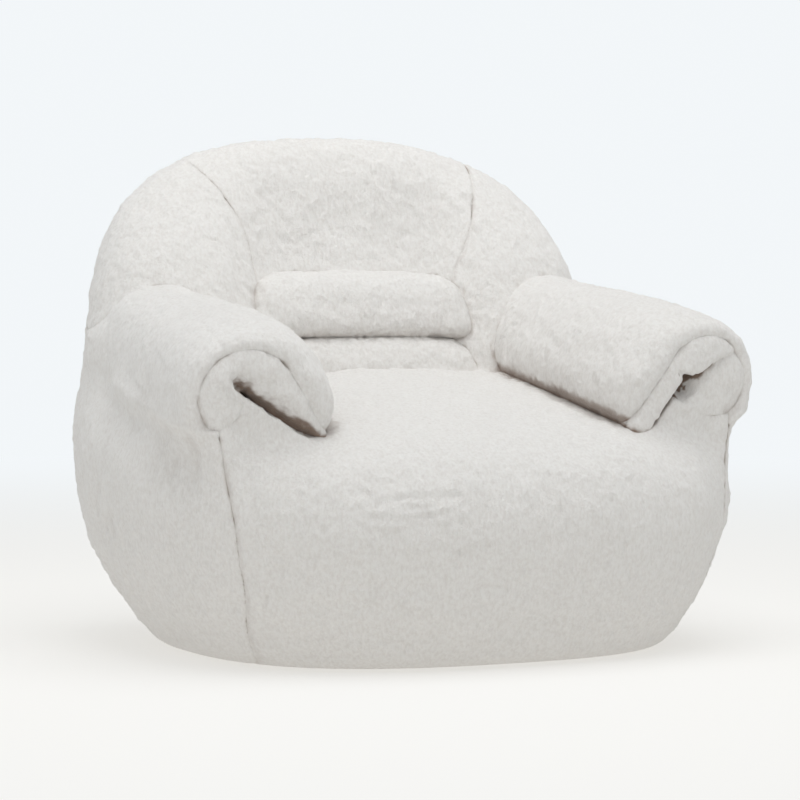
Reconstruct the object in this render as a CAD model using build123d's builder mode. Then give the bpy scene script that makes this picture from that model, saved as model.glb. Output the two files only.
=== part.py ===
"""Upholstered bean bag chair: a low rounded body, a high rounded back and two folded-over arms.

Millimetres. +Z is up, the sitter faces -Y, and the origin is on the floor under the middle of the chair.
The covers are sewn shells, and the bags and pads that fill them lie inside. The zip that the filling
goes in by is in the lower rear, on its own flat panel.
"""

from build123d import *
import os

os.makedirs("parts", exist_ok=True)

# ---- driving dimensions -------------------------------------------------------------------------

BODY_WIDTH = 1030
BODY_DEPTH = 890
CORNER_RADIUS = 360          # plan radius of the body's four corners
SEAT_HEIGHT = 402            # at the middle of the chair
SEAT_SLOPE = 10              # degrees that the seat climbs towards the back
SEAT_ROUND = 110
BASE_ROUND = 115

BACK_WIDTH = 960
BACK_HEIGHT = 820
BACK_FOOT = 300              # the back stands this deep in the body
BACK_FRONT_Y = 130           # front of the back at seat height
BACK_REAR_Y = 438
BACK_LEAN = 12               # degrees that its front leans
BACK_SET_IN = 5              # of the back's corners from the body's
BACK_FRONT_ROUND = 85
BACK_REAR_ROUND = 105
CROWN_RADIUS = 1060
CROWN_ANGLE = 11.2
SHOULDER_RADIUS = 235
SHOULDER_ANGLE = 66

COVER = 12                   # plush cloth with its pile
LINER = 2                    # inner bag
GAP = 1                      # air between one layer and the next
BASE_CLOTH = 12              # height up to which the underside cloth reaches
FRONT_SEAM_X = 428           # front panel to side panel
REAR_SEAM_Y = 285            # side and wing panels to rear panel

ARM_FRONT_Y = -305           # front face of the arms, at the height of the fold's centre
ARM_LENGTH = 545
ARM_RISE = 9                 # degrees that the arms climb towards the back
ARM_TOE = 4                  # degrees that they close in towards the back
ARM_FOLD_X = 390             # centre of the fold
ARM_FOLD_Z = 398
ARM_FOLD_RADIUS = 38         # inside radius of the fold
ARM_PAD = 54                 # thickness of the folded pad
ARM_FOLD_START = -38         # degrees round the fold, from its outer side
ARM_FOLD_SWEEP = 184
ARM_FLAP = 108               # straight length of the flap that lies on the seat
ARM_LEG = 60                 # straight length of the pad's outer side

LUMBAR_WIDTH = 364
LUMBAR_LEVELS = (427, 490, 586)   # bottom, middle seam and top of the two rolls
LUMBAR_FRONT_Y = 108
LUMBAR_DEPTH = 104
LUMBAR_ROUND = 30

HEAD_WIDTH_LOW = 356         # head panel at the lumbar seam
HEAD_WIDTH_HIGH = 590        # head panel at the crown

ZIP_LENGTH = 280
ZIP_Z = 170
ZIP_PANEL_LENGTH = 330
ZIP_PANEL_HEIGHT = 64
ZIP_PANEL_THICKNESS = 3.5
ZIP_PANEL_FACE = 437         # y of the outer face of the zip's panel
ZIP_SLOT_HEIGHT = 14
TAPE_WIDTH = 17
TAPE_THICKNESS = 0.8
COIL_WIDTH = 2.6
COIL_THICKNESS = 1.8
COIL_GAP = 2.0               # between the two coils, where the slider's post runs
STOP_LENGTH = 3
RUNNING_GAP = 0.35           # between the slider or pull and what it passes

SLIDER_LENGTH = 14
SLIDER_WIDTH = 9.6
SLIDER_PLATE = 1.05
BRIDGE_SPAN = 7.4            # along the zip, over both feet
BRIDGE_WIDTH = 3
BRIDGE_THICKNESS = 1
BRIDGE_HEIGHT = 3.1          # above the slider's top plate
PULL_LENGTH = 30
PULL_WIDTH = 9
PULL_THICKNESS = 1.2
PULL_EYE = 8                 # length of the open eye that the bridge stands in
PULL_EYE_WIDTH = 4.6

# ---- soft volumes: each takes an inset, so that its layers nest ------------------------------------


def save(builder, name):
    """Names a finished piece and writes it."""
    builder.part.label = name
    export_step(builder.part, f"parts/{name}.step")


def body_volume(inset):
    """The low rounded body with its sloping seat, shrunk on every side by inset."""
    seat = Plane(origin=(0, 0, SEAT_HEIGHT)).rotated((SEAT_SLOPE, 0, 0)).offset(-inset)
    with BuildPart() as volume:
        with BuildSketch(Plane.XY.offset(inset)):
            RectangleRounded(
                BODY_WIDTH - 2 * inset, BODY_DEPTH - 2 * inset, CORNER_RADIUS - inset
            )
        extrude(amount=2 * SEAT_HEIGHT)
        split(bisect_by=seat, keep=Keep.BOTTOM)
        fillet(volume.faces().sort_by(Axis.Z)[-1].edges(), SEAT_ROUND - inset)
        fillet(volume.faces().sort_by(Axis.Z)[0].edges(), BASE_ROUND - inset)
    return volume.part


def back_volume(inset):
    """The high rounded back with its leaning front, shrunk on every side by inset."""
    half_width = BACK_WIDTH / 2 - inset
    front = Plane.XZ.offset(-BACK_FRONT_Y).rotated((-BACK_LEAN, 0, 0))
    front.origin = (0, BACK_FRONT_Y, SEAT_HEIGHT)
    with BuildPart() as volume:
        with BuildSketch(Plane.XZ.offset(inset - BACK_REAR_Y)):
            with BuildLine():
                crown = JernArc((0, BACK_HEIGHT - inset), (1, 0), CROWN_RADIUS - inset, -CROWN_ANGLE)
                shoulder = JernArc(
                    crown @ 1, crown % 1, SHOULDER_RADIUS - inset, CROWN_ANGLE - SHOULDER_ANGLE
                )
                run = (half_width - (shoulder @ 1).X) / (shoulder % 1).X
                side = Line(shoulder @ 1, shoulder @ 1 + (shoulder % 1) * run)
                foot = Line(side @ 1, (half_width, BACK_FOOT))
                Line(foot @ 1, (0, BACK_FOOT))
                mirror(about=Plane.YZ)
            make_face()
        extrude(amount=BACK_REAR_Y)
        split(bisect_by=front.offset(-inset), keep=Keep.BOTTOM)
        for face, radius in (
            (volume.faces().sort_by(Axis.Y)[-1], BACK_REAR_ROUND),
            (volume.faces().sort_by(Axis.Y)[0], BACK_FRONT_ROUND),
        ):
            rim = face.edges().filter_by(lambda edge: edge.center().Z > BACK_FOOT + 1)
            fillet(rim, radius - inset)
        with BuildSketch(Plane.XY):
            set_in = BACK_SET_IN + inset
            RectangleRounded(
                BODY_WIDTH - 2 * set_in, BODY_DEPTH - 2 * set_in, CORNER_RADIUS - set_in
            )
        extrude(amount=BACK_HEIGHT, mode=Mode.INTERSECT)
    return volume.part


def arm_pad(near, far, front, flap_cut=0, length=ARM_LENGTH):
    """The right arm's folded pad between two depths, near and far, off its lower face.

    It runs from front to length behind the arm's front face, with its flap flap_cut short of the whole.
    """
    along = Vector(0, 1, 0).rotate(Axis.X, ARM_RISE).rotate(Axis.Z, ARM_TOE)
    across = Vector(1, 0, 0).rotate(Axis.Z, ARM_TOE)
    origin = Vector(ARM_FOLD_X, ARM_FRONT_Y, ARM_FOLD_Z) + along * front
    with BuildPart() as pad:
        with BuildSketch(Plane(origin=origin, x_dir=across, z_dir=-along)):
            with BuildLine():
                turn = (ARM_FOLD_START, ARM_FOLD_SWEEP)
                low = CenterArc((0, 0), ARM_FOLD_RADIUS + near, *turn)
                high = CenterArc((0, 0), ARM_FOLD_RADIUS + far, *turn)
                low_leg = Line(low @ 0, low @ 0 - (low % 0) * ARM_LEG)
                high_leg = Line(high @ 0, high @ 0 - (high % 0) * ARM_LEG)
                low_flap = Line(low @ 1, low @ 1 + (low % 1) * (ARM_FLAP - flap_cut))
                high_flap = Line(high @ 1, high @ 1 + (high % 1) * (ARM_FLAP - flap_cut))
                Line(low_leg @ 1, high_leg @ 1)
                Line(low_flap @ 1, high_flap @ 1)
            make_face()
        extrude(amount=front - length)
    return pad.part


def slab(x=(-600, 600), y=(-600, 600), z=(-50, 900)):
    """A block between two limits on each axis, for cutting a cover along its seams."""
    low, high = Vector(x[0], y[0], z[0]), Vector(x[1], y[1], z[1])
    size = high - low
    return Pos(low + size / 2) * Box(size.X, size.Y, size.Z, mode=Mode.PRIVATE)


def head_wedge():
    """The tapering middle of the back, between the two curved wing seams."""
    with BuildPart() as wedge:
        with BuildSketch(Plane.XZ.offset(-600)):
            with BuildLine():
                Polyline(
                    (-HEAD_WIDTH_LOW / 2, LUMBAR_LEVELS[0] - 60),
                    (HEAD_WIDTH_LOW / 2, LUMBAR_LEVELS[0] - 60),
                    (HEAD_WIDTH_LOW / 2, LUMBAR_LEVELS[2]),
                    (HEAD_WIDTH_HIGH / 2, BACK_HEIGHT + 10),
                    (-HEAD_WIDTH_HIGH / 2, BACK_HEIGHT + 10),
                    (-HEAD_WIDTH_LOW / 2, LUMBAR_LEVELS[2]),
                    close=True,
                )
            make_face()
        extrude(amount=1200)
    return wedge.part


def lumbar_roll(low, high, inset):
    """One of the two rolls across the small of the back."""
    with BuildPart() as roll:
        with BuildSketch(Plane.XY.offset(low + inset)):
            with Locations((0, LUMBAR_FRONT_Y + LUMBAR_DEPTH / 2)):
                Rectangle(LUMBAR_WIDTH - 2 * inset, LUMBAR_DEPTH - 2 * inset)
        extrude(amount=high - low - 2 * inset)
        fillet(roll.edges(), LUMBAR_ROUND - inset)
    return roll.part


# ---- the whole chair's outside, and its skin ---------------------------------------------------------

bag = COVER + GAP            # outside of the inner bags
bead = bag + LINER + GAP     # outside of the filling

body = body_volume(0)
body_lining = body_volume(COVER)
body_bag = body_volume(bag)
body_bag_inside = body_volume(bag + LINER)
body_beads = body_volume(bead)
back = back_volume(0)
back_lining = back_volume(COVER)
back_bag = back_volume(bag)
back_bag_inside = back_volume(bag + LINER)
back_beads = back_volume(bead)

with BuildPart() as skin:
    add(body)
    add(back)
    add([body_lining, back_lining], mode=Mode.SUBTRACT)

lumbar_recess = slab(
    (-LUMBAR_WIDTH / 2, LUMBAR_WIDTH / 2),
    (0, LUMBAR_FRONT_Y + LUMBAR_DEPTH),
    (LUMBAR_LEVELS[0] - 60, LUMBAR_LEVELS[2]),
)
zip_window = slab(
    (-ZIP_PANEL_LENGTH / 2, ZIP_PANEL_LENGTH / 2),
    (ZIP_PANEL_FACE - ZIP_PANEL_THICKNESS, BODY_DEPTH),
    (ZIP_Z - ZIP_PANEL_HEIGHT / 2, ZIP_Z + ZIP_PANEL_HEIGHT / 2),
)
ahead_of_rear_seam = slab(y=(-600, REAR_SEAM_Y), z=(COVER, 900))
middle = slab(x=(-FRONT_SEAM_X, FRONT_SEAM_X))
right_of_middle = slab(x=(FRONT_SEAM_X, 600))
wedge = head_wedge()

# ---- covers of the body and the back -----------------------------------------------------------------

underside = slab(z=(-50, COVER))
with BuildPart() as base_cover:
    add(body)
    add(underside, mode=Mode.INTERSECT)
save(base_cover, "base_cover")

with BuildPart() as body_front:
    add(skin.part)
    add(body, mode=Mode.INTERSECT)
    add(ahead_of_rear_seam, mode=Mode.INTERSECT)

with BuildPart() as seat_front_cover:
    add(body_front.part)
    add(middle, mode=Mode.INTERSECT)
save(seat_front_cover, "seat_front_cover")

with BuildPart() as rear_cover:
    add(skin.part)
    add([underside, ahead_of_rear_seam, zip_window], mode=Mode.SUBTRACT)
save(rear_cover, "rear_cover")

with BuildPart() as back_front:
    add(skin.part)
    add(ahead_of_rear_seam, mode=Mode.INTERSECT)
    add([body, lumbar_recess], mode=Mode.SUBTRACT)

above_lumbar = slab(z=(LUMBAR_LEVELS[2], 900))
with BuildPart() as head_cover:
    add(back_front.part)
    add(wedge, mode=Mode.INTERSECT)
    add(above_lumbar, mode=Mode.INTERSECT)
save(head_cover, "head_cover")

right_half = slab(x=(0, 600))
with BuildPart() as right_wing_cover:
    add(back_front.part)
    add(right_half, mode=Mode.INTERSECT)
    add(wedge, mode=Mode.SUBTRACT)

# ---- the folded arms, made for the right and mirrored --------------------------------------------------

arm_outside = arm_pad(COVER, ARM_PAD, COVER)
arm_inside = arm_pad(COVER, ARM_PAD - COVER, COVER, flap_cut=COVER)
arm_front = arm_pad(0, ARM_PAD, 0, length=COVER)
arm_underside = arm_pad(0, COVER, COVER)
arm_beads = arm_pad(bag, ARM_PAD - bag, bag, flap_cut=bag)

with BuildPart() as right_body_side:
    add(body_front.part)
    add(right_of_middle, mode=Mode.INTERSECT)

with BuildPart() as right_side_cover:
    add(arm_outside)
    add([arm_inside, body, back], mode=Mode.SUBTRACT)
    add(right_body_side.part)

with BuildPart() as right_arm_gusset:
    add(arm_front)
    add([body, back], mode=Mode.SUBTRACT)

with BuildPart() as right_arm_lining:
    add(arm_underside)
    add([body, back], mode=Mode.SUBTRACT)

with BuildPart() as right_arm_filling:
    add(arm_beads)
    add([body, back], mode=Mode.SUBTRACT)

for piece, right in (
    ("wing_cover", right_wing_cover),
    ("side_cover", right_side_cover),
    ("arm_gusset", right_arm_gusset),
    ("arm_lining", right_arm_lining),
    ("arm_filling", right_arm_filling),
):
    save(right, f"right_{piece}")
    with BuildPart() as left:
        mirror(right.part, about=Plane.YZ)
    save(left, f"left_{piece}")

# ---- the two lumbar rolls ------------------------------------------------------------------------------

for name, low, high in (
    ("lower_lumbar", LUMBAR_LEVELS[0], LUMBAR_LEVELS[1]),
    ("upper_lumbar", LUMBAR_LEVELS[1], LUMBAR_LEVELS[2]),
):
    outside = lumbar_roll(low, high, 0)
    inside = lumbar_roll(low, high, COVER)
    beads = lumbar_roll(low, high, bag)
    with BuildPart() as cover:
        add(outside)
        add([inside, body], mode=Mode.SUBTRACT)
    save(cover, f"{name}_cover")
    with BuildPart() as filling:
        add(beads)
    save(filling, f"{name}_filling")

# ---- inner bags and their filling -----------------------------------------------------------------------

with BuildPart() as seat_liner:
    add(body_bag)
    add(body_bag_inside, mode=Mode.SUBTRACT)
save(seat_liner, "seat_liner")

with BuildPart() as seat_filling:
    add(body_beads)
save(seat_filling, "seat_filling")

with BuildPart() as back_liner:
    add(back_bag)
    add([body_lining, lumbar_recess, back_bag_inside], mode=Mode.SUBTRACT)
save(back_liner, "back_liner")

with BuildPart() as back_filling:
    add(back_beads)
    add([body_lining, lumbar_recess], mode=Mode.SUBTRACT)
save(back_filling, "back_filling")

# ---- the zip in the rear panel ---------------------------------------------------------------------------


def zip_plane(height, along=0):
    """A plane at a height over the zip panel's face, with its x along the zip towards -X and its y up."""
    return Plane(origin=(-along, ZIP_PANEL_FACE + height, ZIP_Z), x_dir=(-1, 0, 0), z_dir=(0, 1, 0))


tape_top = TAPE_THICKNESS
coil_top = tape_top + COIL_THICKNESS
coil_centre = (COIL_GAP + COIL_WIDTH) / 2
plate_bottom = coil_top + RUNNING_GAP
plate_top = plate_bottom + SLIDER_PLATE
hinge_height = plate_top + BRIDGE_HEIGHT - BRIDGE_THICKNESS - RUNNING_GAP - PULL_THICKNESS / 2
slider_park = ZIP_LENGTH / 2 - STOP_LENGTH - SLIDER_LENGTH / 2 - RUNNING_GAP
post_width = COIL_GAP - 2 * RUNNING_GAP
flange_inner = COIL_GAP / 2 + COIL_WIDTH + RUNNING_GAP

with BuildPart() as zip_panel:
    with BuildSketch(zip_plane(-ZIP_PANEL_THICKNESS)):
        Rectangle(ZIP_PANEL_LENGTH, ZIP_PANEL_HEIGHT)
        Rectangle(ZIP_LENGTH, ZIP_SLOT_HEIGHT, mode=Mode.SUBTRACT)
    extrude(amount=ZIP_PANEL_THICKNESS)
save(zip_panel, "zip_panel")

for name, side in (("upper", 1), ("lower", -1)):
    with BuildPart() as tape:
        with BuildSketch(zip_plane(0)):
            with Locations((0, side * (COIL_GAP + TAPE_WIDTH) / 2)):
                Rectangle(ZIP_LENGTH + 20, TAPE_WIDTH)
        extrude(amount=TAPE_THICKNESS)
    save(tape, f"zip_tape_{name}")

    with BuildPart() as coil:
        with BuildSketch(zip_plane(tape_top)):
            with Locations((0, side * coil_centre)):
                Rectangle(ZIP_LENGTH - 2 * STOP_LENGTH, COIL_WIDTH)
        extrude(amount=COIL_THICKNESS)
        fillet(coil.faces().sort_by(Axis.Y)[-1].edges().filter_by(Axis.X), COIL_THICKNESS / 3)
    save(coil, f"zip_coil_{name}")

with BuildPart() as zip_stops:
    with BuildSketch(zip_plane(tape_top)):
        with Locations((-(ZIP_LENGTH - STOP_LENGTH) / 2, 0), ((ZIP_LENGTH - STOP_LENGTH) / 2, 0)):
            Rectangle(STOP_LENGTH, COIL_GAP + 2 * COIL_WIDTH)
    extrude(amount=COIL_THICKNESS)
save(zip_stops, "zip_stops")

with BuildPart() as zip_slider:
    for height in (-RUNNING_GAP - SLIDER_PLATE, plate_bottom):
        with BuildSketch(zip_plane(height, slider_park)):
            RectangleRounded(SLIDER_LENGTH, SLIDER_WIDTH, 2)
        extrude(amount=SLIDER_PLATE)
    with BuildSketch(zip_plane(-RUNNING_GAP, slider_park)):
        with Locations((SLIDER_LENGTH / 2 - 2.5, 0)):
            Rectangle(3, post_width)
    extrude(amount=plate_bottom + RUNNING_GAP)
    flange_centre = (flange_inner + SLIDER_WIDTH / 2) / 2
    with BuildSketch(zip_plane(tape_top + RUNNING_GAP, slider_park)):
        with Locations((0, -flange_centre), (0, flange_centre)):
            Rectangle(SLIDER_LENGTH - 5, SLIDER_WIDTH / 2 - flange_inner)
    extrude(amount=COIL_THICKNESS)
    with BuildSketch(zip_plane(plate_top, slider_park)):
        Rectangle(BRIDGE_SPAN, BRIDGE_WIDTH)
        Rectangle(BRIDGE_SPAN - 2 * BRIDGE_THICKNESS, BRIDGE_WIDTH, mode=Mode.SUBTRACT)
    extrude(amount=BRIDGE_HEIGHT)
    with BuildSketch(zip_plane(plate_top + BRIDGE_HEIGHT - BRIDGE_THICKNESS, slider_park)):
        Rectangle(BRIDGE_SPAN, BRIDGE_WIDTH)
    extrude(amount=BRIDGE_THICKNESS)
save(zip_slider, "zip_slider")

with BuildPart() as zip_pull:
    with BuildSketch(zip_plane(hinge_height - PULL_THICKNESS / 2, slider_park)):
        with Locations((PULL_THICKNESS / 2 - PULL_LENGTH / 2, 0)):
            RectangleRounded(PULL_LENGTH, PULL_WIDTH, 2)
        with Locations((-PULL_EYE / 2 - PULL_THICKNESS / 2, 0)):
            Rectangle(PULL_EYE, PULL_EYE_WIDTH, mode=Mode.SUBTRACT)
    extrude(amount=PULL_THICKNESS)
save(zip_pull, "zip_pull")
print("hinge at", -slider_park, ZIP_PANEL_FACE + hinge_height, ZIP_Z)
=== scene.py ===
"""The looks of the bean bag chair: plush covers sewn from panels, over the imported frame.

Every soft piece is a closed shell meshed from a smooth field (negative inside, in metres), so that
its crown, its seams and its folds are real geometry. Right-hand pieces use side +1, left-hand -1.
"""

from functools import partial

import bpy
import numpy as np
from mathutils import Matrix, Vector


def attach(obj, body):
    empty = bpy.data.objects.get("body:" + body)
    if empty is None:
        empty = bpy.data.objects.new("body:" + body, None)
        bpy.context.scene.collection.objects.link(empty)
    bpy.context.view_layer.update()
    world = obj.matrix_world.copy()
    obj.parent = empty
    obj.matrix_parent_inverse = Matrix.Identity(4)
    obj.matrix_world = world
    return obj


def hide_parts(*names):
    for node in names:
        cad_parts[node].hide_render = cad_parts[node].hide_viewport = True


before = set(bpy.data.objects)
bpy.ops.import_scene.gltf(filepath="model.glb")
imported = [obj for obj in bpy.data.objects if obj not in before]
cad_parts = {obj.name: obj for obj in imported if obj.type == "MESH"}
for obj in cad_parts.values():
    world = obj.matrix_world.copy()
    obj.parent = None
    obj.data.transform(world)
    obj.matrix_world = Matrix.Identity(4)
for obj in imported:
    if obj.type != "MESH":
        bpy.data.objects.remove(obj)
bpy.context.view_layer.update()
CELL = 0.0036      # size of the mesh's faces on the covers
BLOCK = 8                                    # grid cells along a side of each block looked at as one

# ---- small field tools --------------------------------------------------------------------------------


def smax(a, b, k):
    h = np.maximum(k - np.abs(a - b), 0)
    return np.maximum(a, b) + h * h / (4 * k)


def smin(a, b, k):
    return -smax(-a, -b, k)


def ramp(x, low, high):
    t = np.clip((x - low) / (high - low), 0, 1)
    return t * t * (3 - 2 * t)


def bell(*terms):
    return np.exp(-sum(t * t for t in terms))


def superellipse(a, b, n, half_a, half_b):
    """Rough distance outside a rounded oblong; a and b are already divided by its half sizes."""
    a, b = np.maximum(a, 1e-4), np.maximum(b, 1e-4)
    g = (a**n + b**n) ** (1 / n)
    return (g - 1) / np.hypot((a / g) ** (n - 1) / half_a, (b / g) ** (n - 1) / half_b)


def curve(keys, values):
    """A smooth function of one number through these values."""
    keys, values = np.array(keys, float), np.array(values, float)
    slope = np.gradient(values, keys)
    fine = np.linspace(keys[0], keys[-1], 400)
    i = np.clip(np.searchsorted(keys, fine) - 1, 0, len(keys) - 2)
    span = keys[i + 1] - keys[i]
    t = (fine - keys[i]) / span
    table = (
        values[i] * (1 + 2 * t) * (1 - t) ** 2
        + slope[i] * span * t * (1 - t) ** 2
        + values[i + 1] * t * t * (3 - 2 * t)
        + slope[i + 1] * span * t * t * (t - 1)
    )
    return lambda x: np.interp(x, fine, table)


def noise(x, y, z, seed):
    """Smooth value noise from -1 to 1, one cell per unit."""
    base = [np.floor(a) for a in (x, y, z)]
    fx, fy, fz = (ramp(a - b, 0, 1) for a, b in zip((x, y, z), base))
    i, j, k = (b.astype(np.int64) for b in base)
    total = 0
    for dx in (0, 1):
        for dy in (0, 1):
            for dz in (0, 1):
                h = (i + dx) * 73856093 ^ (j + dy) * 19349663 ^ (k + dz) * 83492791 ^ seed * 2654435761
                h = ((h ^ (h >> 13)) * 1274126177) & 0xFFFFFFFF
                h = ((h ^ (h >> 15)) * 668265263) & 0xFFFFFFFF
                value = ((h >> 8) & 0xFFFF) / 32767.5 - 1
                weight = (fx if dx else 1 - fx) * (fy if dy else 1 - fy) * (fz if dz else 1 - fz)
                total = total + value * weight
    return total


# ---- meshing ------------------------------------------------------------------------------------------

CORNERS = np.array([(a, b, c) for a in (0, 1) for b in (0, 1) for c in (0, 1)])
EDGES = [(a, b) for a in range(8) for b in range(a) if np.abs(CORNERS[a] - CORNERS[b]).sum() == 1]


def net(field, low, high, cell):
    """Points and quads of the surface where the field is zero, one point per grid cell it crosses."""
    low = np.array(low, float) - 3 * cell
    blocks = np.ceil((np.array(high) + 3 * cell - low) / (BLOCK * cell)).astype(int)
    at = np.stack(np.meshgrid(*[np.arange(b) for b in blocks], indexing="ij"), -1).reshape(-1, 3)
    middle = field(*(low + (at + 0.5) * BLOCK * cell).T)
    grid = np.where(middle > 0, 1, -1).astype(np.float32).reshape(blocks)
    for axis in range(3):
        grid = grid.repeat(BLOCK, axis)
    step = np.stack(np.meshgrid(*[np.arange(BLOCK)] * 3, indexing="ij"), -1).reshape(-1, 3)
    near = at[np.abs(middle) < 1.5 * BLOCK * cell]
    for some in np.array_split(near, len(near) // 3000 + 1):
        p = (some[:, None, :] * BLOCK + step).reshape(-1, 3)
        grid[tuple(p.T)] = field(*(low + p * cell).T)
    inside = grid < 0
    count = sum(
        inside[a : a - 1 or None, b : b - 1 or None, c : c - 1 or None].astype(np.int8)
        for a, b, c in CORNERS
    )
    active = (count > 0) & (count < 8)
    cells = np.argwhere(active)
    index = np.zeros(active.shape, np.int32)
    index[active] = np.arange(len(cells))
    value = np.stack([grid[tuple((cells + c).T)] for c in CORNERS], 1)
    place, crossings = np.zeros(cells.shape), np.zeros(len(cells))
    for a, b in EDGES:
        cut = (value[:, a] < 0) != (value[:, b] < 0)
        t = value[cut, a] / (value[cut, a] - value[cut, b])
        place[cut] += CORNERS[a] + t[:, None] * (CORNERS[b] - CORNERS[a])
        crossings[cut] += 1
    points = low + (cells + place / crossings[:, None]) * cell
    quads = []
    for axis in range(3):
        one, two = np.eye(3, dtype=int)[[(axis + 1) % 3, (axis + 2) % 3]]
        along = np.eye(3, dtype=int)[axis]
        here = inside[1:-1, 1:-1, 1:-1]
        there = inside[tuple(slice(1 + a, -1 + a or None) for a in along)]
        for flip in (False, True):
            p = np.argwhere((here != there) & (here == flip)) + 1
            ring = [p, p - one, p - one - two, p - two]
            ring = ring[::-1] if flip else ring
            quads.append(np.stack([index[tuple(q.T)] for q in ring], 1))
    return points, np.concatenate(quads)[:, ::-1]


def gradient(field, p, step=0.0008):
    return np.stack(
        [field(*(p + d).T) - field(*(p - d).T) for d in np.eye(3) * step], 1
    ) / (2 * step)


def piece(name, field, low, high, cell=CELL, relief=None, rounds=2):
    """A mesh of the field's surface, pulled exactly onto it, then raised by its relief."""
    p, quads = net(field, low, high, cell)
    for _ in range(rounds):
        g = gradient(field, p)
        move = field(*p.T)[:, None] * g / np.maximum((g * g).sum(1), 0.3)[:, None]
        p = p - np.clip(move, -cell, cell)
    if relief is not None:
        g = gradient(field, p, 0.002)
        n = g / np.maximum(np.linalg.norm(g, axis=1), 1e-6)[:, None]
        p = p + n * relief(p, n)[:, None]
    mesh = bpy.data.meshes.new(name)
    mesh.vertices.add(len(p))
    mesh.vertices.foreach_set("co", p.astype(np.float32).ravel())
    mesh.loops.add(quads.size)
    mesh.loops.foreach_set("vertex_index", quads.astype(np.int32).ravel())
    mesh.polygons.add(len(quads))
    mesh.polygons.foreach_set("loop_start", np.arange(0, quads.size, 4, dtype=np.int32))
    mesh.polygons.foreach_set("use_smooth", np.ones(len(quads), bool))
    mesh.update(calc_edges=True)
    made = bpy.data.objects.new(name, mesh)
    bpy.context.scene.collection.objects.link(made)
    return made


# ---- the chair's volumes ------------------------------------------------------------------------------

FRONT_SEAM = curve(
    (-0.05, 0.0, 0.036, 0.07, 0.103, 0.134, 0.163, 0.21, 0.253, 0.30, 0.36, 0.5, 0.9),
    (0.325, 0.340, 0.362, 0.378, 0.387, 0.395, 0.403, 0.412, 0.418, 0.425, 0.434, 0.437, 0.437),
)
HEAD_SEAM = {
    -1: curve((0.3, 0.5, 0.57, 0.60, 0.637, 0.68, 0.713, 0.751, 0.781, 0.83),
              (0.175, 0.175, 0.176, 0.177, 0.181, 0.193, 0.210, 0.235, 0.260, 0.30)),
    1: curve((0.3, 0.5, 0.583, 0.63, 0.683, 0.709, 0.752, 0.79, 0.83),
             (0.17, 0.172, 0.180, 0.204, 0.230, 0.240, 0.252, 0.262, 0.275)),
}
REAR_SEAM = curve(
    (0.0, 0.3, 0.5, 0.62, 0.72, 0.80, 0.9),
    (0.285, 0.285, 0.288, 0.300, 0.325, 0.345, 0.36),
)
BACK_FRONT = curve(
    (0.2, 0.35, 0.43, 0.50, 0.58, 0.65, 0.70, 0.75, 0.80, 0.9),
    (0.11, 0.125, 0.14, 0.17, 0.208, 0.235, 0.248, 0.260, 0.275, 0.30),
)
BACK_REAR = curve(
    (0.2, 0.3, 0.4, 0.5, 0.6, 0.7, 0.8, 0.9),
    (0.420, 0.430, 0.438, 0.434, 0.418, 0.395, 0.37, 0.35),
)
HALF_DEPTH = 0.4445          # of the body at seat height
HEM = 0.002                  # height of the panels' lower edge
ZIP_Z = 0.17
ZIP_HALF = (0.1645, 0.0315)  # half width and half height of the zip's window


def wall(x, y, z):
    """The body's outside, all round: full at seat height, tucked in towards the floor."""
    low = np.clip(1 - z / 0.33, 0, 1.3)
    tuck = 1.15 * low**2.4
    side = 0.511 - 0.110 * tuck
    end = HALF_DEPTH - np.where(y < 0, 0.060 * tuck**1.3, 0.080 * tuck**1.7)
    n = 2.6 - np.where(y < 0, -0.05, 0.35) * tuck
    slope = 0.95 * low**1.4
    return superellipse(np.abs(x) / side, np.abs(y) / end, n, side, end) / np.sqrt(1 + slope**2)


def seat_top(x, y):
    """Height of the seat: it climbs to the back, crowns in the middle and gives under the flaps."""
    press = 0.008 * bell((np.abs(x) - 0.28) / 0.06, (y + 0.34) / 0.09)
    return 0.405 + 0.195 * y + 0.019 * bell(x / 0.26, (y + 0.12) / 0.27) - press


def body(x, y, z):
    """The low block that the seat tops, with a mound behind that carries the zip's panel."""
    top = (z - seat_top(x, y)) * 0.975
    mound = 0.022 * ramp(0.31 - np.abs(x), 0, 0.16) * ramp(0.12 - np.abs(z - ZIP_Z), 0, 0.08) * (y > 0)
    made = smax(wall(x, y, z) - mound, top, 0.135)
    made = smax(made, y - HALF_DEPTH, 0.014)
    for side in (-1, 1):
        made = smin(made, knee(x, y, z, side), 0.028 + 0.045 * ramp(x * side, 0.38, 0.44))
    return smax(made, 0.001 - z, 0.02)


def back(x, y, z):
    """The arched back: an outline seen from the front, its leaning front with wings, and its rear."""
    half, middle, rise = 0.456, 0.45, 0.396
    x = x - 0.008 * ramp(z, 0.55, 0.8)
    tall = np.where(z > middle, rise, rise / 0.12)
    outline = superellipse(np.abs(x) / half, np.abs(z - middle) / tall, 2.35, half, tall)
    wing = 0.052 * ramp(np.abs(x), 0.125, 0.255) * (1 - ramp(z, 0.60, 0.80))
    front = (BACK_FRONT(z) - wing - y) * 0.93
    rear = (y - BACK_REAR(z)) * 0.99
    thin = ramp(z, 0.5, 0.80)
    made = smax(smax(outline, rear, 0.27 - 0.17 * thin), front, 0.15 - 0.06 * thin)
    return smax(made, 0.28 - z, 0.05)


def torso(x, y, z):
    """Body and back as one."""
    blend = 0.006 + 0.034 * ramp(np.abs(x), 0.36, 0.47)
    blend = np.maximum(blend, 0.045 * ramp(y, 0.27, 0.33))
    return smin(body(x, y, z), back(x, y, z), blend)


# ---- the arms: a pad folded over, in its own frame -----------------------------------------------------

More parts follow.
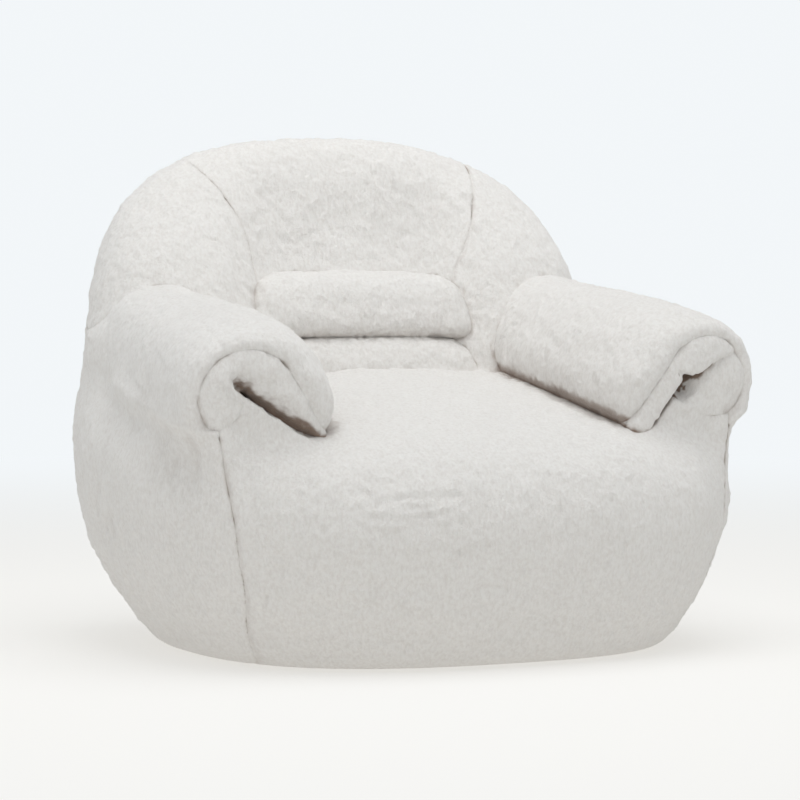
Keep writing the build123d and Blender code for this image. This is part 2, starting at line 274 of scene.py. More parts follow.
RISE, TOE = np.radians(9), np.radians(4)
ACROSS = np.array((np.cos(TOE), np.sin(TOE), 0))
ALONG = np.array((-np.sin(TOE) * np.cos(RISE), np.cos(TOE) * np.cos(RISE), np.sin(RISE)))
UP = np.cross(ACROSS, ALONG)
CENTRE = {-1: (0.389, -0.305, 0.402), 1: (0.385, -0.305, 0.416)}
FLAP = {-1: 0.122, 1: 0.134}
FOLD = 0.062                 # radius of the pad's middle line
OUTER = 0.018                # the pad's outer half thickness at its front face
START, END = np.radians(-42), np.radians(147)
ARC = (END - START) * FOLD
THICK = 0.02                 # of the covers' shells
SEAM_LAP = 0.0035            # each panel runs this far past its seams
INNER = {                    # half thickness of the pad inside the fold, along it, for each arm
    -1: curve((-0.08, 0.0, 0.14, 0.2, 0.25, 0.284, 0.317, 0.36),
              (0.030, 0.034, 0.034, 0.036, 0.034, 0.020, 0.010, 0.006)),
    1: curve((-0.08, 0.0, 0.22, 0.28, 0.31, 0.36), (0.021, 0.021, 0.020, 0.020, 0.014, 0.006)),
}
# Left strip's inner edge on the leg by height, and the right strip's crease by distance across.
LEG_EDGE = curve((-0.08, -0.045, -0.035, -0.024, -0.008, 0.009, 0.023, 0.03),
                 (0.060, 0.043, 0.027, 0.0150, 0.0105, 0.012, 0.025, 0.03))
CREASE = curve(
    (-0.06, -0.041, -0.010, 0.007, 0.022, 0.06),
    (0.008, 0.014, 0.0215, 0.033, 0.040, 0.052),
)


def arm_frame(x, y, z, side):
    """Across the arm (outwards), up and along it, from the fold's centre at its front face."""
    cx, cy, cz = CENTRE[side]
    p = (x * side - cx, y - cy, z - cz)
    return [sum(a * b for a, b in zip(p, axis)) for axis in (ACROSS, UP, ALONG)]


def fold(u, v):
    """Off the pad's middle line (outwards), and along it from the top of the leg to the flap's tip."""
    turn = np.arctan2(v, u)
    past, open_ = (turn - END) % (2 * np.pi), 2 * np.pi - (END - START)
    q, run = np.hypot(u, v) - FOLD, (turn - START) * FOLD
    ends = ((END, ARC, past < open_ / 2), (START, 0, (past >= open_ / 2) & (past < open_)))
    for at, length, beyond in ends:
        nx, ny = np.cos(at), np.sin(at)
        q = np.where(beyond, u * nx + v * ny - FOLD, q)
        run = np.where(beyond, length + v * nx - u * ny, run)
    return q, run


def swell(s, run):
    """How far the outer skin stands proud of its seams at the front face: most on the flap."""
    share = 0.38 + 0.28 * ramp(run, -0.04, 0.05) + 0.72 * ramp(run, 0.12, 0.23)
    rise = 1 - np.exp(-(np.maximum(s, -0.012) + 0.012) / 0.032)
    return 0.041 * share * rise * (1 - 0.5 * ramp(s, 0.14, 0.52))


def arm_parts(x, y, z, side):
    """Across, up, along; off the pad and along it; and how far past the flap's tip."""
    u, v, s = arm_frame(x, y, z, side)
    q, run = fold(u, v)
    return u, v, s, q, run, run - ARC - FLAP[side]


def arm_mass(s, q, run, tip):
    """The arm's outer form, as if the fold were filled up."""
    made = smax(q - OUTER - swell(s, run), tip, 0.09)
    made = smax(made, -run - 0.10, 0.04)
    made = smax(made, 0.003 - s, 0.026)
    return smax(made, s - 0.53, 0.05)


def arm_skin(x, y, z, side):
    """The side panel where it runs over the arm and down the flap."""
    _, _, s, q, run, tip = arm_parts(x, y, z, side)
    mass = arm_mass(s, q, run, tip)
    made = np.maximum(mass, -mass - THICK)
    made = smax(made, -q - 0.004 - 10 * (1 - ramp(run, -0.01, 0.02)), 0.01)
    return smax(made, (OUTER + 0.002 - q - 1.1 * np.maximum(s - 0.004, 0)) * 0.68, 0.012)


def tongue_edge(u, v):
    """How far above the right strip's lower edge, where the body's filling takes over."""
    return v + 0.037 + 0.667 * u + 0.02 * ramp(-u, 0.01, 0.04)


def arm_gusset(x, y, z, side):
    """The strip that closes the front of the fold, crowned between its two seams."""
    u, v, s, q, run, tip = arm_parts(x, y, z, side)
    if side < 0:
        slit = 0.65 * u + 0.011 + 0.003 * ramp(u, -0.06, 0.02) - 0.008 * ramp(s, 0.004, 0.030)
        slit = (slit - v) / 1.19
        inner = smin(slit, LEG_EDGE(v) - u - 0.003, 0.004)
        sink = 0.026 * np.exp(-np.maximum(-slit, 0) / 0.012) * ramp(0.030 - u, 0, 0.018)
        sink = sink * ramp(v - 0.65 * u, 0.0, 0.010)
        turn = np.arctan2(v - 0.018, 0.035 - u)
        sink = sink + 0.0030 * np.sin(turn * 11) * bell((u + 0.02) / 0.045, (v - 0.02) / 0.03)
        edge = np.minimum(OUTER - q, -inner + 0.012 * ramp(u, 0.0, 0.012))
    else:
        flap = np.maximum(-q - 0.0195, 0.145 - run)
        top = np.maximum(CREASE(u) - v, -0.046 - u)
        low = tongue_edge(u, v) + 0.004
        tongue = np.maximum(np.maximum(v - CREASE(u) - 0.004, -0.015 - low), -0.054 - u)
        inner = smin(smin(flap, top, 0.013), smin(tongue, smax(0.030 - u, v - 0.02, 0.02), 0.01), 0.003)
        under = 1 - ramp(v - CREASE(u), -0.002, 0.003)
        along = np.maximum((u + 0.036) * 0.857 - (v - 0.024) * 0.514, 0)
        sink = under * (0.002 + 0.070 * np.exp(-((along / 0.021) ** 2)) + 0.012 * np.exp(-along / 0.05))
        sink = 0.0034 + (sink - 0.0034) * ramp(low, -0.002, 0.030)
        sink = np.where((run > 0.145) & (-q < 0.0195) | (under == 0), 0, sink)
        edge = np.minimum(OUTER - q, np.maximum(-inner, 0) + 0.02)
    crown = 0.014 * (1 - np.exp(-np.maximum(edge, 0) / 0.012))
    made = smax(smax(q - OUTER, inner, 0.012), tip - 0.001, 0.02)
    made = smax(made, 0.012 - s - crown + sink, 0.010)
    made = smax(made, s - 0.10, 0.01)
    return smax(made, -v - 0.056 - 0.2 * ramp(-u, 0.0, 0.03), 0.012)


def arm_lining(x, y, z, side):
    """The cloth inside the fold."""
    _, _, s, q, run, tip = arm_parts(x, y, z, side)
    made = smax(-q - INNER[side](run) + 0.001, q + 0.002, 0.008)
    made = smax(made, tip + 0.004, 0.015)
    made = smax(made, 0.05 + 0.02 * side - s, 0.02)
    return smax(smax(made, -run - 0.03, 0.02), s - 0.5, 0.03)


def knee(x, y, z, side):
    """The body's filling where it swells up under an arm and inside its fold."""
    u, v, s, q, run, tip = arm_parts(x, y, z, side)
    if side < 0:
        line = smax((v - 0.65 * u - 0.003) / 1.19, u - LEG_EDGE(v) - 0.012, 0.006)
    else:
        line = tongue_edge(u, v) / 1.2
    line = smax(line, q + 0.022 - 10 * (1 - ramp(run, 0.10, 0.16)), 0.01)
    line = smin(line, smax(v + 0.050, 0.02 - u, 0.02), 0.012)
    made = smax(arm_mass(s, q, run, tip) + 0.001, line, 0.007)
    return smax(smax(made, s - 0.33, 0.05), -v - 0.14, 0.05)


# ---- panels: the volumes cut along their seams ----------------------------------------------------------


def shoulder(y):
    """Height of the seam between the side panels and the wings, behind the arms."""
    return 0.46 + 0.25 * (y - 0.1)


def zip_window(x, z, grow=0.0):
    return np.maximum(np.abs(x) - ZIP_HALF[0] - grow, np.abs(z - ZIP_Z) - ZIP_HALF[1] - grow)


def shell(made, volume):
    return np.maximum(made, -volume - THICK)


def front_edge(y, z):
    """The front panel's half width, narrowing where the seat runs in under the back."""
    return FRONT_SEAM(z) - 0.12 * ramp(y, 0.17, 0.25)


def seat_front(x, y, z):
    """One panel from the back of the seat, over the front edge and down to the floor."""
    v = body(x, y, z)
    made = smax(v, (np.abs(x) - front_edge(y, z)) * 0.98 - SEAM_LAP, 0.009)
    made = smax(made, y - 0.24, 0.02)
    return shell(smax(made, HEM - z, 0.006), v)


def side_cover(side):
    """The outer side, which runs on over the arm; its front edge is cut apart from the arm's."""
    def field(x, y, z):
        v = torso(x, y, z)
        seam = (front_edge(y, z) - x * side) * 0.98 - SEAM_LAP
        outboard = ramp(x * side - FRONT_SEAM(z), -0.03, -0.02)
        made = smax(v, seam - 10 * (1 - ramp(z, 0.340, 0.349)) * outboard, 0.010)
        made = smax(made, y - REAR_SEAM(z) - SEAM_LAP, 0.012)
        made = smax(made, z - shoulder(y) - SEAM_LAP, 0.011)
        made = shell(smax(made, HEM - z, 0.006), v)
        blend = 0.045 * ramp(z, 0.33, 0.40) + 0.002
        made = smin(made, arm_skin(x, y, z, side), blend)
        _, _, _, q, run, tip = arm_parts(x, y, z, side)
        flap = ramp(run, 0.05, 0.08) * ramp(0.014 - tip, 0, 0.006) * ramp(q, -0.03, -0.02)
        return smax(made, seam - 10 * (ramp(z, 0.351, 0.366) + flap), 0.010)

    return field


def wing(side):
    """The back's panel beside the head panel, down to the shoulder."""
    def field(x, y, z):
        v = torso(x, y, z)
        seam = HEAD_SEAM[side](z) - 0.05 * (1 - ramp(z, 0.560, 0.572))
        made = smax(v, (seam - x * side) * 0.93 - SEAM_LAP, 0.008)
        made = smax(made, y - REAR_SEAM(z) - SEAM_LAP, 0.012)
        split = 0.38 + (shoulder(y) - 0.38) * ramp(x * side, 0.38, 0.42)
        made = smax(made, split - z - SEAM_LAP, 0.011)
        return shell(made, v)

    return field


def head(x, y, z):
    """The tapering panel in the middle of the back, above the rolls."""
    v = torso(x, y, z)
    seam = np.where(x > 0, HEAD_SEAM[1](z), HEAD_SEAM[-1](z))
    made = smax(v, (np.abs(x) - seam) * 0.93 - SEAM_LAP, 0.008)
    made = smax(made, y - REAR_SEAM(z) - SEAM_LAP, 0.012)
    made = smax(made, 0.545 - z, 0.02)
    return shell(made, v)


def rear(x, y, z):
    """The whole rear, with a window for the zip's panel."""
    v = torso(x, y, z)
    made = smax(v, REAR_SEAM(z) - y - SEAM_LAP, 0.014)
    window = np.maximum(zip_window(x, z), 0.43 - y)
    made = smax(made, -window, 0.010)
    return shell(smax(made, HEM - z, 0.006), v)


def base(x, y, z):
    """The thin cloth underneath."""
    return smax(body(x, y, z) + 0.003, z - 0.0065, 0.003)


ROLLS = (                    # middle and half height, middle and half depth, half width
    (0.538, 0.0575, 0.214, 0.072, 0.192),
    (0.434, 0.060, 0.186, 0.082, 0.198),
)


def roll(level):
    """One of the two lumbar rolls: a soft bar whose ends round off and slope down."""
    zc, hz, yc, hy, half = ROLLS[level]

    def field(x, y, z):
        width = half - 0.24 * (z - zc)
        drop = 0.012 * (np.abs(x) / 0.18) ** 4
        pz = np.abs(z - zc + drop * 0.6) / (hz - drop * 0.4)
        py = np.abs(y - yc - 0.38 * (z - zc)) / hy
        return smax(superellipse(pz, py, 3.2, hz, hy) * 0.94, np.abs(x) - width, 0.035)

    return field


# ---- pile ---------------------------------------------------------------------------------------------


FOLDS = (                    # creases pressed into the front panel: (x, z) along each, half width, depth
    (((-0.233, 0.252), (-0.187, 0.264), (-0.108, 0.264)), 0.0050, 0.0017),
    (((-0.216, 0.244), (-0.185, 0.249), (-0.142, 0.252)), 0.0045, 0.0015),
    (((-0.243, 0.235), (-0.187, 0.233), (-0.121, 0.240)), 0.0050, 0.0016),
    (((-0.200, 0.222), (-0.150, 0.222), (-0.110, 0.228)), 0.0045, 0.0010),
    (((-0.011, 0.245), (0.008, 0.268), (0.023, 0.287)), 0.0045, 0.0014),
    (((-0.108, 0.182), (-0.090, 0.190), (-0.063, 0.192)), 0.0045, 0.0012),
    (((-0.326, 0.139), (-0.179, 0.131), (-0.032, 0.126)), 0.0080, 0.0009),
)


def creased(x, y, z):
    """How deep the front panel's creases are, with a low ridge along both sides of each."""
    depth = 0
    for line, half, deep in FOLDS:
        far = 1
        for (ax, az), (bx, bz) in zip(line, line[1:]):
            t = ((x - ax) * (bx - ax) + (z - az) * (bz - az)) / ((bx - ax) ** 2 + (bz - az) ** 2)
            t = np.clip(t, 0, 1)
            far = np.minimum(far, np.hypot(x - ax - t * (bx - ax), z - az - t * (bz - az)))
        depth = depth + deep * (bell(far / half) - 0.45 * bell((far - 2 * half) / half))
    return depth * (y < -0.3) * (1 + 0.7 * noise(x * 60, y * 60, z * 90, 8))


def tufts(p, n):
    """Relief of the pile in four sizes, with upright folds on the sides and none round the zip."""
    x, y, z = p.T
    wx = x + 0.006 * noise(x * 40, y * 40, z * 40, 5)
    wz = z + 0.006 * noise(x * 40, y * 40, z * 40, 6)
    made = 0.0017 * noise(wx * 110, y * 110, wz * 70, 1)
    made += 0.0011 * noise(wx * 180, y * 180, wz * 120, 2)
    made += 0.0020 * noise(x * 30, y * 30, z * 30, 3)
    made += 0.0032 * noise(x * 9, y * 9, z * 9, 4)
    sides = ramp(np.abs(n[:, 0]), 0.45, 0.8) * ramp(y, -0.35, -0.2) * (1 - ramp(z, 0.34, 0.42))
    made += 0.0028 * sides * noise(y * 22, x * 5, z * 3.5, 7)
    made += 0.0012 * sides * noise(wx * 12 + y * 70, y * 12, wz * 9, 8)
    window = zip_window(x, z, 0.0005) + 10 * (y < 0.4)
    return made * ramp(window, 0.0, 0.03) * ramp(z, 0.004, 0.03) - creased(x, y, z)


# ---- materials ------------------------------------------------------------------------------------------


def material(name, colour, rough, build=None, **values):
    made = bpy.data.materials.new(name)
    made.use_nodes = True
    nodes, links = made.node_tree.nodes, made.node_tree.links
    shader = nodes["Principled BSDF"]
    shader.inputs["Base Color"].default_value = (*colour, 1)
    shader.inputs["Roughness"].default_value = rough
    for key, value in values.items():
        shader.inputs[key.replace("_", " ")].default_value = value
    if build:
        build(nodes, links, shader)
    return made


def colour_mix(nodes):
    """A colour mix node's factor, two inputs and output."""
    mixed = nodes.new("ShaderNodeMix")
    mixed.data_type = "RGBA"
    one, two = [i for i in mixed.inputs if i.type == "RGBA"]
    return mixed.inputs["Factor"], one, two, [o for o in mixed.outputs if o.type == "RGBA"][0]


def plush_nodes(nodes, links, shader):
    """Colour that varies at random between pale and warmer cream, mixed towards dark brown by the 'seam'
    attribute (painted shade in seams, folds and hollows, plus the seams' own darker line), and bump in two
    sizes of tuft.
    """
    place = nodes.new("ShaderNodeTexCoord")
    stretch = nodes.new("ShaderNodeMapping")
    stretch.inputs["Scale"].default_value = (1, 1, 0.6)
    links.new(place.outputs["Object"], stretch.inputs["Vector"])
    height = None
    for scale, detail, share in ((230, 4, 1.0), (620, 4, 0.7)):
        fibre = nodes.new("ShaderNodeTexNoise")
        fibre.inputs["Scale"].default_value = scale
        fibre.inputs["Detail"].default_value = detail
        fibre.inputs["Roughness"].default_value = 0.7
        links.new(stretch.outputs["Vector"], fibre.inputs["Vector"])
        bump = nodes.new("ShaderNodeBump")
        bump.inputs["Strength"].default_value = 0.75
        bump.inputs["Distance"].default_value = 0.0034 * share
        links.new(fibre.outputs["Fac"], bump.inputs["Height"])
        if height:
            links.new(height.outputs["Normal"], bump.inputs["Normal"])
        height = bump
    links.new(height.outputs["Normal"], shader.inputs["Normal"])
    cloud = nodes.new("ShaderNodeTexNoise")
    cloud.inputs["Scale"].default_value = 210
    cloud.inputs["Detail"].default_value = 6
    cloud.inputs["Roughness"].default_value = 0.65
    links.new(stretch.outputs["Vector"], cloud.inputs["Vector"])
    shade = nodes.new("ShaderNodeValToRGB")
    shade.color_ramp.elements[0].position, shade.color_ramp.elements[1].position = 0.36, 0.58
    shade.color_ramp.elements[0].color = (0.812, 0.777, 0.738, 1)
    shade.color_ramp.elements[1].color = (0.885, 0.861, 0.827, 1)
    links.new(cloud.outputs["Fac"], shade.inputs["Fac"])
    # Painted shade: the 'seam' attribute mixes the pile towards dark brown in seams, folds and hollows, and
    # also gives the seams' own darker line.
    seam = nodes.new("ShaderNodeAttribute")
    seam.attribute_name = "seam"
    factor, pile, seam_and_shade_brown, pile_seams_and_shade = colour_mix(nodes)
    seam_and_shade_brown.default_value = (0.235, 0.143, 0.09, 1)
    links.new(seam.outputs["Fac"], factor)
    links.new(shade.outputs["Color"], pile)
    links.new(pile_seams_and_shade, shader.inputs["Base Color"])


PLUSH = material(
    "plush", (0.86, 0.83, 0.79), 0.95, plush_nodes,
    Sheen_Weight=0.35, Sheen_Roughness=0.5, Specular_IOR_Level=0.15,
)


def weave_nodes(scale, dark, light):
    """Two crossed sets of threads."""
    def build(nodes, links, shader):
        place = nodes.new("ShaderNodeTexCoord")
        height = []
        for turn in (0, 1):
            wave = nodes.new("ShaderNodeTexWave")
            wave.bands_direction = "X" if turn else "Z"
            wave.inputs["Scale"].default_value = scale
            wave.inputs["Distortion"].default_value = 1.5
            wave.inputs["Detail Scale"].default_value = 3
            links.new(place.outputs["Object"], wave.inputs["Vector"])
            height.append(wave)
        both = nodes.new("ShaderNodeMath")
        both.operation = "MULTIPLY"
        links.new(height[0].outputs["Fac"], both.inputs[0])
        links.new(height[1].outputs["Fac"], both.inputs[1])
        shade = nodes.new("ShaderNodeValToRGB")
        shade.color_ramp.elements[0].color = (*dark, 1)
        shade.color_ramp.elements[1].color = (*light, 1)
        links.new(both.outputs["Value"], shade.inputs["Fac"])
        links.new(shade.outputs["Color"], shader.inputs["Base Color"])
        bump = nodes.new("ShaderNodeBump")
        bump.inputs["Strength"].default_value = 0.4
        bump.inputs["Distance"].default_value = 0.0008
        links.new(both.outputs["Value"], bump.inputs["Height"])
        links.new(bump.outputs["Normal"], shader.inputs["Normal"])

    return build


def brushed_nodes(nodes, links, shader):
    place = nodes.new("ShaderNodeTexCoord")
    grain = nodes.new("ShaderNodeTexNoise")
    grain.inputs["Scale"].default_value = 900
    grain.inputs["Detail"].default_value = 3
    links.new(place.outputs["Object"], grain.inputs["Vector"])
    rough = nodes.new("ShaderNodeMapRange")
    rough.inputs["To Min"].default_value, rough.inputs["To Max"].default_value = 0.22, 0.42
    links.new(grain.outputs["Fac"], rough.inputs["Value"])
    links.new(rough.outputs["Result"], shader.inputs["Roughness"])


BASE_CLOTH = material(
    "underside_cloth", (0.3, 0.29, 0.28), 0.9, weave_nodes(500, (0.16, 0.155, 0.15), (0.34, 0.33, 0.32)),
)
LINER = material(
    "liner_cloth", (0.8, 0.8, 0.78), 0.85, weave_nodes(600, (0.62, 0.62, 0.60), (0.82, 0.82, 0.80)),
)
TAPE = material(
    "zip_tape", (0.8, 0.78, 0.74), 0.85, weave_nodes(900, (0.55, 0.53, 0.50), (0.80, 0.78, 0.74)),
)
COIL = material("zip_coil", (0.82, 0.80, 0.76), 0.4, brushed_nodes)
METAL = material("zip_metal", (0.62, 0.61, 0.60), 0.3, brushed_nodes, Metallic=1.0)


def beads_nodes(nodes, links, shader):
    place = nodes.new("ShaderNodeTexCoord")
    ball = nodes.new("ShaderNodeTexVoronoi")
    ball.inputs["Scale"].default_value = 220
    links.new(place.outputs["Object"], ball.inputs["Vector"])
    # Painted shade: each bead is pale at its middle and darker towards the gaps between beads.
    shade = nodes.new("ShaderNodeValToRGB")
    shade.color_ramp.elements[0].color = (0.9, 0.9, 0.9, 1)
    shade.color_ramp.elements[1].color = (0.6, 0.6, 0.6, 1)
    links.new(ball.outputs["Distance"], shade.inputs["Fac"])
    links.new(shade.outputs["Color"], shader.inputs["Base Color"])
    bump = nodes.new("ShaderNodeBump")
    bump.invert = True
    bump.inputs["Distance"].default_value = 0.003
    links.new(ball.outputs["Distance"], bump.inputs["Height"])
    links.new(bump.outputs["Normal"], shader.inputs["Normal"])


BEADS = material("filling_beads", (0.9, 0.9, 0.9), 0.7, beads_nodes)

# ---- pieces -------------------------------------------------------------------------------------------


def dress(made, finish, slot, fill, *nodes):
    """Gives a piece its material, hangs it on the chair's empty and hides the imported parts that it stands
    for.
    """
    made.data.materials.append(finish)
    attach(made, "chair")
    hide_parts(*nodes)
    return made


W = 0.53                     # half width of the box that the pieces are meshed in
PANELS = []                  # (object, field, low, high) of every plush piece


def plush(name, field, low, high, fill, *nodes):
    low, high = np.array(low, float), np.array(high, float)
    made = dress(piece(name, field, low, high, relief=tufts), PLUSH, "plush", fill, *nodes)
    PANELS.append((made, field, low, high))


def across(side, near, far):
    return sorted((side * near, side * far))


# How much painted shade each kind of piece gets, as a share of the probes' dark brown.
PAINTED_SHADE_SHARES = (("roll", 0.25), ("seat", 0.45), ("strip", 1.05), ("inside", 1.05), ("panel", 0.80))


def paint_shade_and_seam_lines():
    """Marks how closed in each point is, as painted shade that darkens the pile towards brown in seams,
    folds and hollows, and adds a thin darker line along the seams themselves.
    """
    for made, *_ in PANELS:
        mesh = made.data
        p, n = np.zeros(3 * len(mesh.vertices)), np.zeros(3 * len(mesh.vertices))
        mesh.vertices.foreach_get("co", p)
        mesh.vertices.foreach_get("normal", n)
        p, n = p.reshape(-1, 3), n.reshape(-1, 3)
        value = np.zeros(len(p))
        depth = [share for word, share in PAINTED_SHADE_SHARES if word in made.name][0]
        # Painted shade: the less free room there is just off the surface, the more dark brown.
        for reach, share, start in ((0.006, 0.20, 0.12), (0.026, 0.95, 0.30)):
            probe = p + n * reach
            free = np.full(len(p), reach)
            for _, field, low, high in PANELS:
                near = ((probe > low - reach) & (probe < high + reach)).all(1)
                if near.any():
                    free[near] = np.minimum(free[near], field(*probe[near].T))
            value += share * ramp(1 - (free + 0.001) / reach, start, 1.0) * depth
        # A thin darker line right along each seam, the seam's own colour.
        x, y, z = p.T
        wide = np.where(x > 0, HEAD_SEAM[1](z), HEAD_SEAM[-1](z))
        away = np.abs(np.abs(x) - FRONT_SEAM(z)) + (y > -0.1) + (z > 0.352)
        away = np.minimum(away, np.abs(np.abs(x) - wide) + (y > REAR_SEAM(z)) + (z < 0.56))
        away = np.minimum(away, np.abs(y - REAR_SEAM(z)))
        elsewhere = (np.abs(x) < 0.40).astype(int) + (y > REAR_SEAM(z)) + (y < 0.2)
        away = np.minimum(away, np.abs(z - shoulder(y)) + elsewhere)
        value += 0.20 * np.exp(-((away / 0.0035) ** 2))
        # The 'seam' attribute holds both the painted shade and the seam lines.
        mark = mesh.attributes.new("seam", "FLOAT", "POINT")
        mark.data.foreach_set("value", (np.clip(value, 0, 0.92) ** 1.35).astype(np.float32))


plush("seat_front_panel", seat_front, (-0.49, -0.46, 0), (0.49, 0.26, 0.47), 0.8, "seat_front_cover")
for side, word in ((-1, "left"), (1, "right")):
    low, high = across(side, 0.17, W)
    plush(
        f"{word}_side_panel", side_cover(side), (low, -0.46, 0), (high, 0.31, 0.62), 0.8,
        f"{word}_side_cover",
    )
    plush(
        f"{word}_arm_strip", partial(arm_gusset, side=side), (low, -0.36, 0.28), (high, -0.22, 0.52), 0.6,
        f"{word}_arm_gusset",
    )
    plush(
        f"{word}_arm_inside", partial(arm_lining, side=side), (low, -0.34, 0.28), (high, 0.22, 0.60), 0.6,
        f"{word}_arm_lining",
    )
    low, high = across(side, 0.15, W)
    plush(
        f"{word}_wing_panel", wing(side), (low, 0.0, 0.36), (high, 0.36, 0.84), 0.7,
        f"{word}_wing_cover",
    )
plush("head_panel", head, (-0.32, 0.15, 0.53), (0.32, 0.36, 0.84), 0.7, "head_cover")
for level, word in ((0, "upper"), (1, "lower")):
    plush(
        f"{word}_lumbar_roll", roll(level), (-0.23, 0.10, 0.36), (0.23, 0.30, 0.61), 0.85,
        f"{word}_lumbar_cover",
    )
plush("rear_panel", rear, (-W, 0.26, 0), (W, 0.46, 0.84), 0.8, "rear_cover")
paint_shade_and_seam_lines()
underside = piece(
    "base_panel", base, (-0.45, -0.42, 0), (0.45, 0.42, 0.02), cell=0.003,
)
dress(underside, BASE_CLOTH, "underside_cloth", None, "base_cover")

# ---- bags and filling ---------------------------------------------------------------------------------


def inset(volume, depth, thick=None):
    """The volume shrunk by a depth, whole or as a shell."""
    def field(x, y, z):
        v = volume(x, y, z) + depth
        return v if thick is None else np.maximum(v, -v - thick)

    return field


def body_in(x, y, z):
    return smax(body(x, y, z), (y - 0.44), 0.02)


def back_in(x, y, z):
    """What of the back stands clear of the body, behind the lumbar rolls."""
    made = smax(back(x, y, z), 0.02 - body(x, y, z), 0.02)
    return smax(made, 0.23 - y - 9 * (z > 0.6), 0.02)


def arm_core(x, y, z, side):
    _, _, s, q, run, tip = arm_parts(x, y, z, side)
    made = np.maximum(np.abs(q - 0.012) - 0.008, tip + 0.05)
    return np.maximum(np.maximum(made, 0.045 - s), np.maximum(s - 0.48, -run - 0.01))


BOX = ((-W, -0.46, 0), (W, 0.46, 0.84))
for word, volume in (("seat", body_in), ("back", back_in)):
    bag = piece(f"{word}_bag", inset(volume, 0.024, 0.012), *BOX, cell=0.014, rounds=0)
    dress(bag, LINER, "liner_cloth", None, f"{word}_liner")
    beads = piece(f"{word}_beads", inset(volume, 0.040), *BOX, cell=0.014, rounds=0)
    dress(beads, BEADS, "filling", 0.8, f"{word}_filling")
for side, word in ((-1, "left"), (1, "right")):
    low, high = across(side, 0.22, W)
    pad = piece(
        f"{word}_arm_pad", partial(arm_core, side=side), (low, -0.3, 0.28), (high, 0.22, 0.6),
        cell=0.005, rounds=1,
    )
    dress(pad, BEADS, "filling", 0.7, f"{word}_arm_filling")
for level, word in ((0, "upper"), (1, "lower")):
    pad = piece(
        f"{word}_lumbar_pad", inset(roll(level), 0.015), (-0.22, 0.10, 0.36), (0.22, 0.30, 0.61), cell=0.01,
    )
    dress(pad, BEADS, "filling", 0.85, f"{word}_lumbar_filling")

# ---- the zip ------------------------------------------------------------------------------------------

for name, finish in (
    ("zip_panel", PLUSH), ("zip_tape_upper", TAPE), ("zip_tape_lower", TAPE), ("zip_coil_upper", COIL),
    ("zip_coil_lower", COIL), ("zip_stops", METAL), ("zip_slider", METAL), ("zip_pull", METAL),
):
    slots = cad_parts[name].data.materials
    if not slots:
        slots.append(finish)
    for i in range(len(slots)):
        slots[i] = finish

# ---- studio -------------------------------------------------------------------------------------------

CAMERA_AT = (-2.084, -4.457, 0.592)
CAMERA_TURN, CAMERA_DIP = np.radians(-25), np.radians(2.38)
LENS, SENSOR = 138.06, 36

scene = bpy.context.scene
scene.view_settings.view_transform = "Standard"
camera = bpy.data.objects.new("camera", bpy.data.cameras.new("camera"))
scene.collection.objects.link(camera)
behind = Vector((np.sin(CAMERA_TURN), -np.cos(CAMERA_TURN), 0))
right = Vector((np.cos(CAMERA_TURN), np.sin(CAMERA_TURN), 0))
ahead = -behind * np.cos(CAMERA_DIP) - Vector((0, 0, 1)) * np.sin(CAMERA_DIP)
facing = Matrix((right, right.cross(ahead), -ahead)).transposed().to_4x4()
camera.matrix_world = Matrix.Translation(CAMERA_AT) @ facing
camera.data.lens, camera.data.sensor_width = LENS, SENSOR
camera.data.clip_end = 100
scene.camera = camera

SKY = (0.893, 0.924, 0.945)
NEAR_FLOOR, NEAR_GLOW = (0.35, 0.35, 0.35), (0.565, 0.555, 0.53)
SKY_STOPS = ((0.12, 1.0), (0.26, 0.36), (0.55, 0.50), (0.95, 0.95))     # height, share of SKY


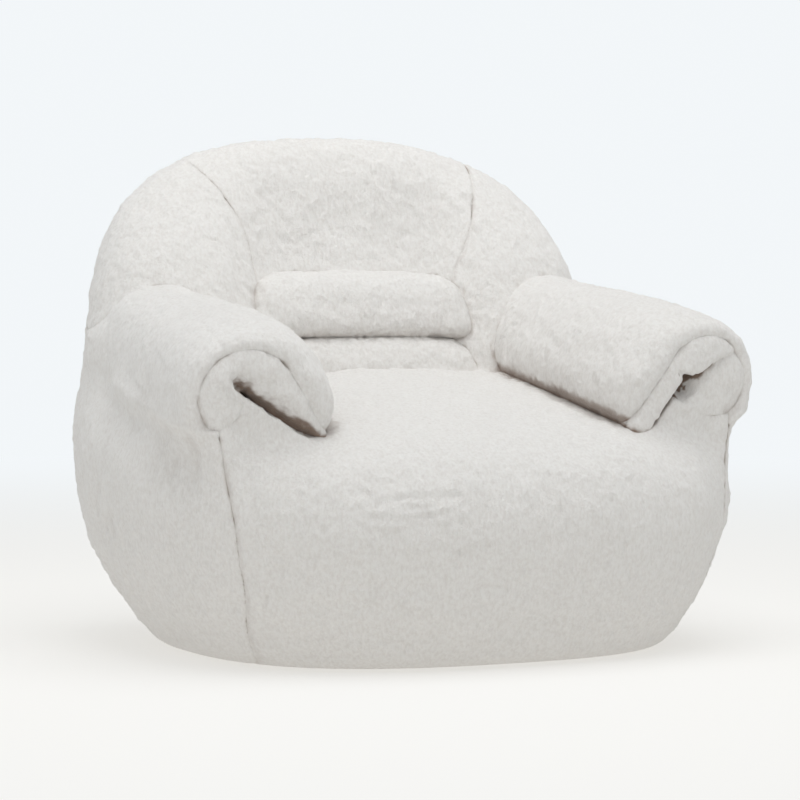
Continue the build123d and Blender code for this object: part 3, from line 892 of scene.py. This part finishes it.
def backdrop_nodes(nodes, links, shader):
    """The floor turns, away from the chair, from a matt surface into the backdrop's own glow."""
    place = nodes.new("ShaderNodeTexCoord")
    far = nodes.new("ShaderNodeVectorMath")
    far.operation = "LENGTH"
    links.new(place.outputs["Object"], far.inputs[0])
    blend = nodes.new("ShaderNodeMapRange")
    blend.interpolation_type = "SMOOTHSTEP"
    blend.inputs["From Min"].default_value, blend.inputs["From Max"].default_value = 0.9, 5.0
    links.new(far.outputs["Value"], blend.inputs["Value"])
    for socket, close, away in (("Base Color", NEAR_FLOOR, (0, 0, 0)), ("Emission Color", NEAR_GLOW, SKY)):
        factor, one, two, mixed = colour_mix(nodes)
        one.default_value, two.default_value = (*close, 1), (*away, 1)
        links.new(blend.outputs["Result"], factor)
        links.new(mixed, shader.inputs[socket])
    shader.inputs["Emission Strength"].default_value = 1.0


floor_mesh = bpy.data.meshes.new("floor")
floor_mesh.from_pydata([(-30, -30, 0), (30, -30, 0), (30, 30, 0), (-30, 30, 0)], [], [(0, 1, 2, 3)])
floor = bpy.data.objects.new("floor", floor_mesh)
scene.collection.objects.link(floor)
floor.data.materials.append(material("floor", NEAR_FLOOR, 0.9, backdrop_nodes, Specular_IOR_Level=0.0))

world = bpy.data.worlds.new("studio")
scene.world = world
world.use_nodes = True
sky, wires = world.node_tree.nodes, world.node_tree.links
height = sky.new("ShaderNodeSeparateXYZ")
wires.new(sky.new("ShaderNodeTexCoord").outputs["Generated"], height.inputs["Vector"])
dome = sky.new("ShaderNodeValToRGB")             # bright at the horizon and overhead, dimmer between
dome.color_ramp.interpolation = "EASE"
stops = dome.color_ramp.elements
stops[0].position, stops[1].position = SKY_STOPS[0][0], SKY_STOPS[-1][0]
for position, _ in SKY_STOPS[1:-1]:
    stops.new(position)
for i, (_, share) in enumerate(SKY_STOPS):
    stops[i].color = (*(c * share for c in SKY), 1)
wires.new(height.outputs["Z"], dome.inputs["Fac"])
wires.new(dome.outputs["Color"], sky["Background"].inputs["Color"])
sky["Background"].inputs["Strength"].default_value = 1.0


def softbox(name, place, aim, size, power):
    lamp = bpy.data.lights.new(name, "AREA")
    lamp.shape, lamp.size, lamp.size_y, lamp.energy = "RECTANGLE", size, size, power
    made = bpy.data.objects.new(name, lamp)
    scene.collection.objects.link(made)
    made.location = place
    made.rotation_mode = "QUATERNION"
    made.rotation_quaternion = (Vector(aim) - Vector(place)).to_track_quat("-Z", "Y")


softbox("top", (0.0, -0.5, 3.2), (0, 0, 0.4), 2.6, 52)
softbox("side", (-3.0, -1.6, 2.4), (0, 0, 0.4), 1.8, 7)
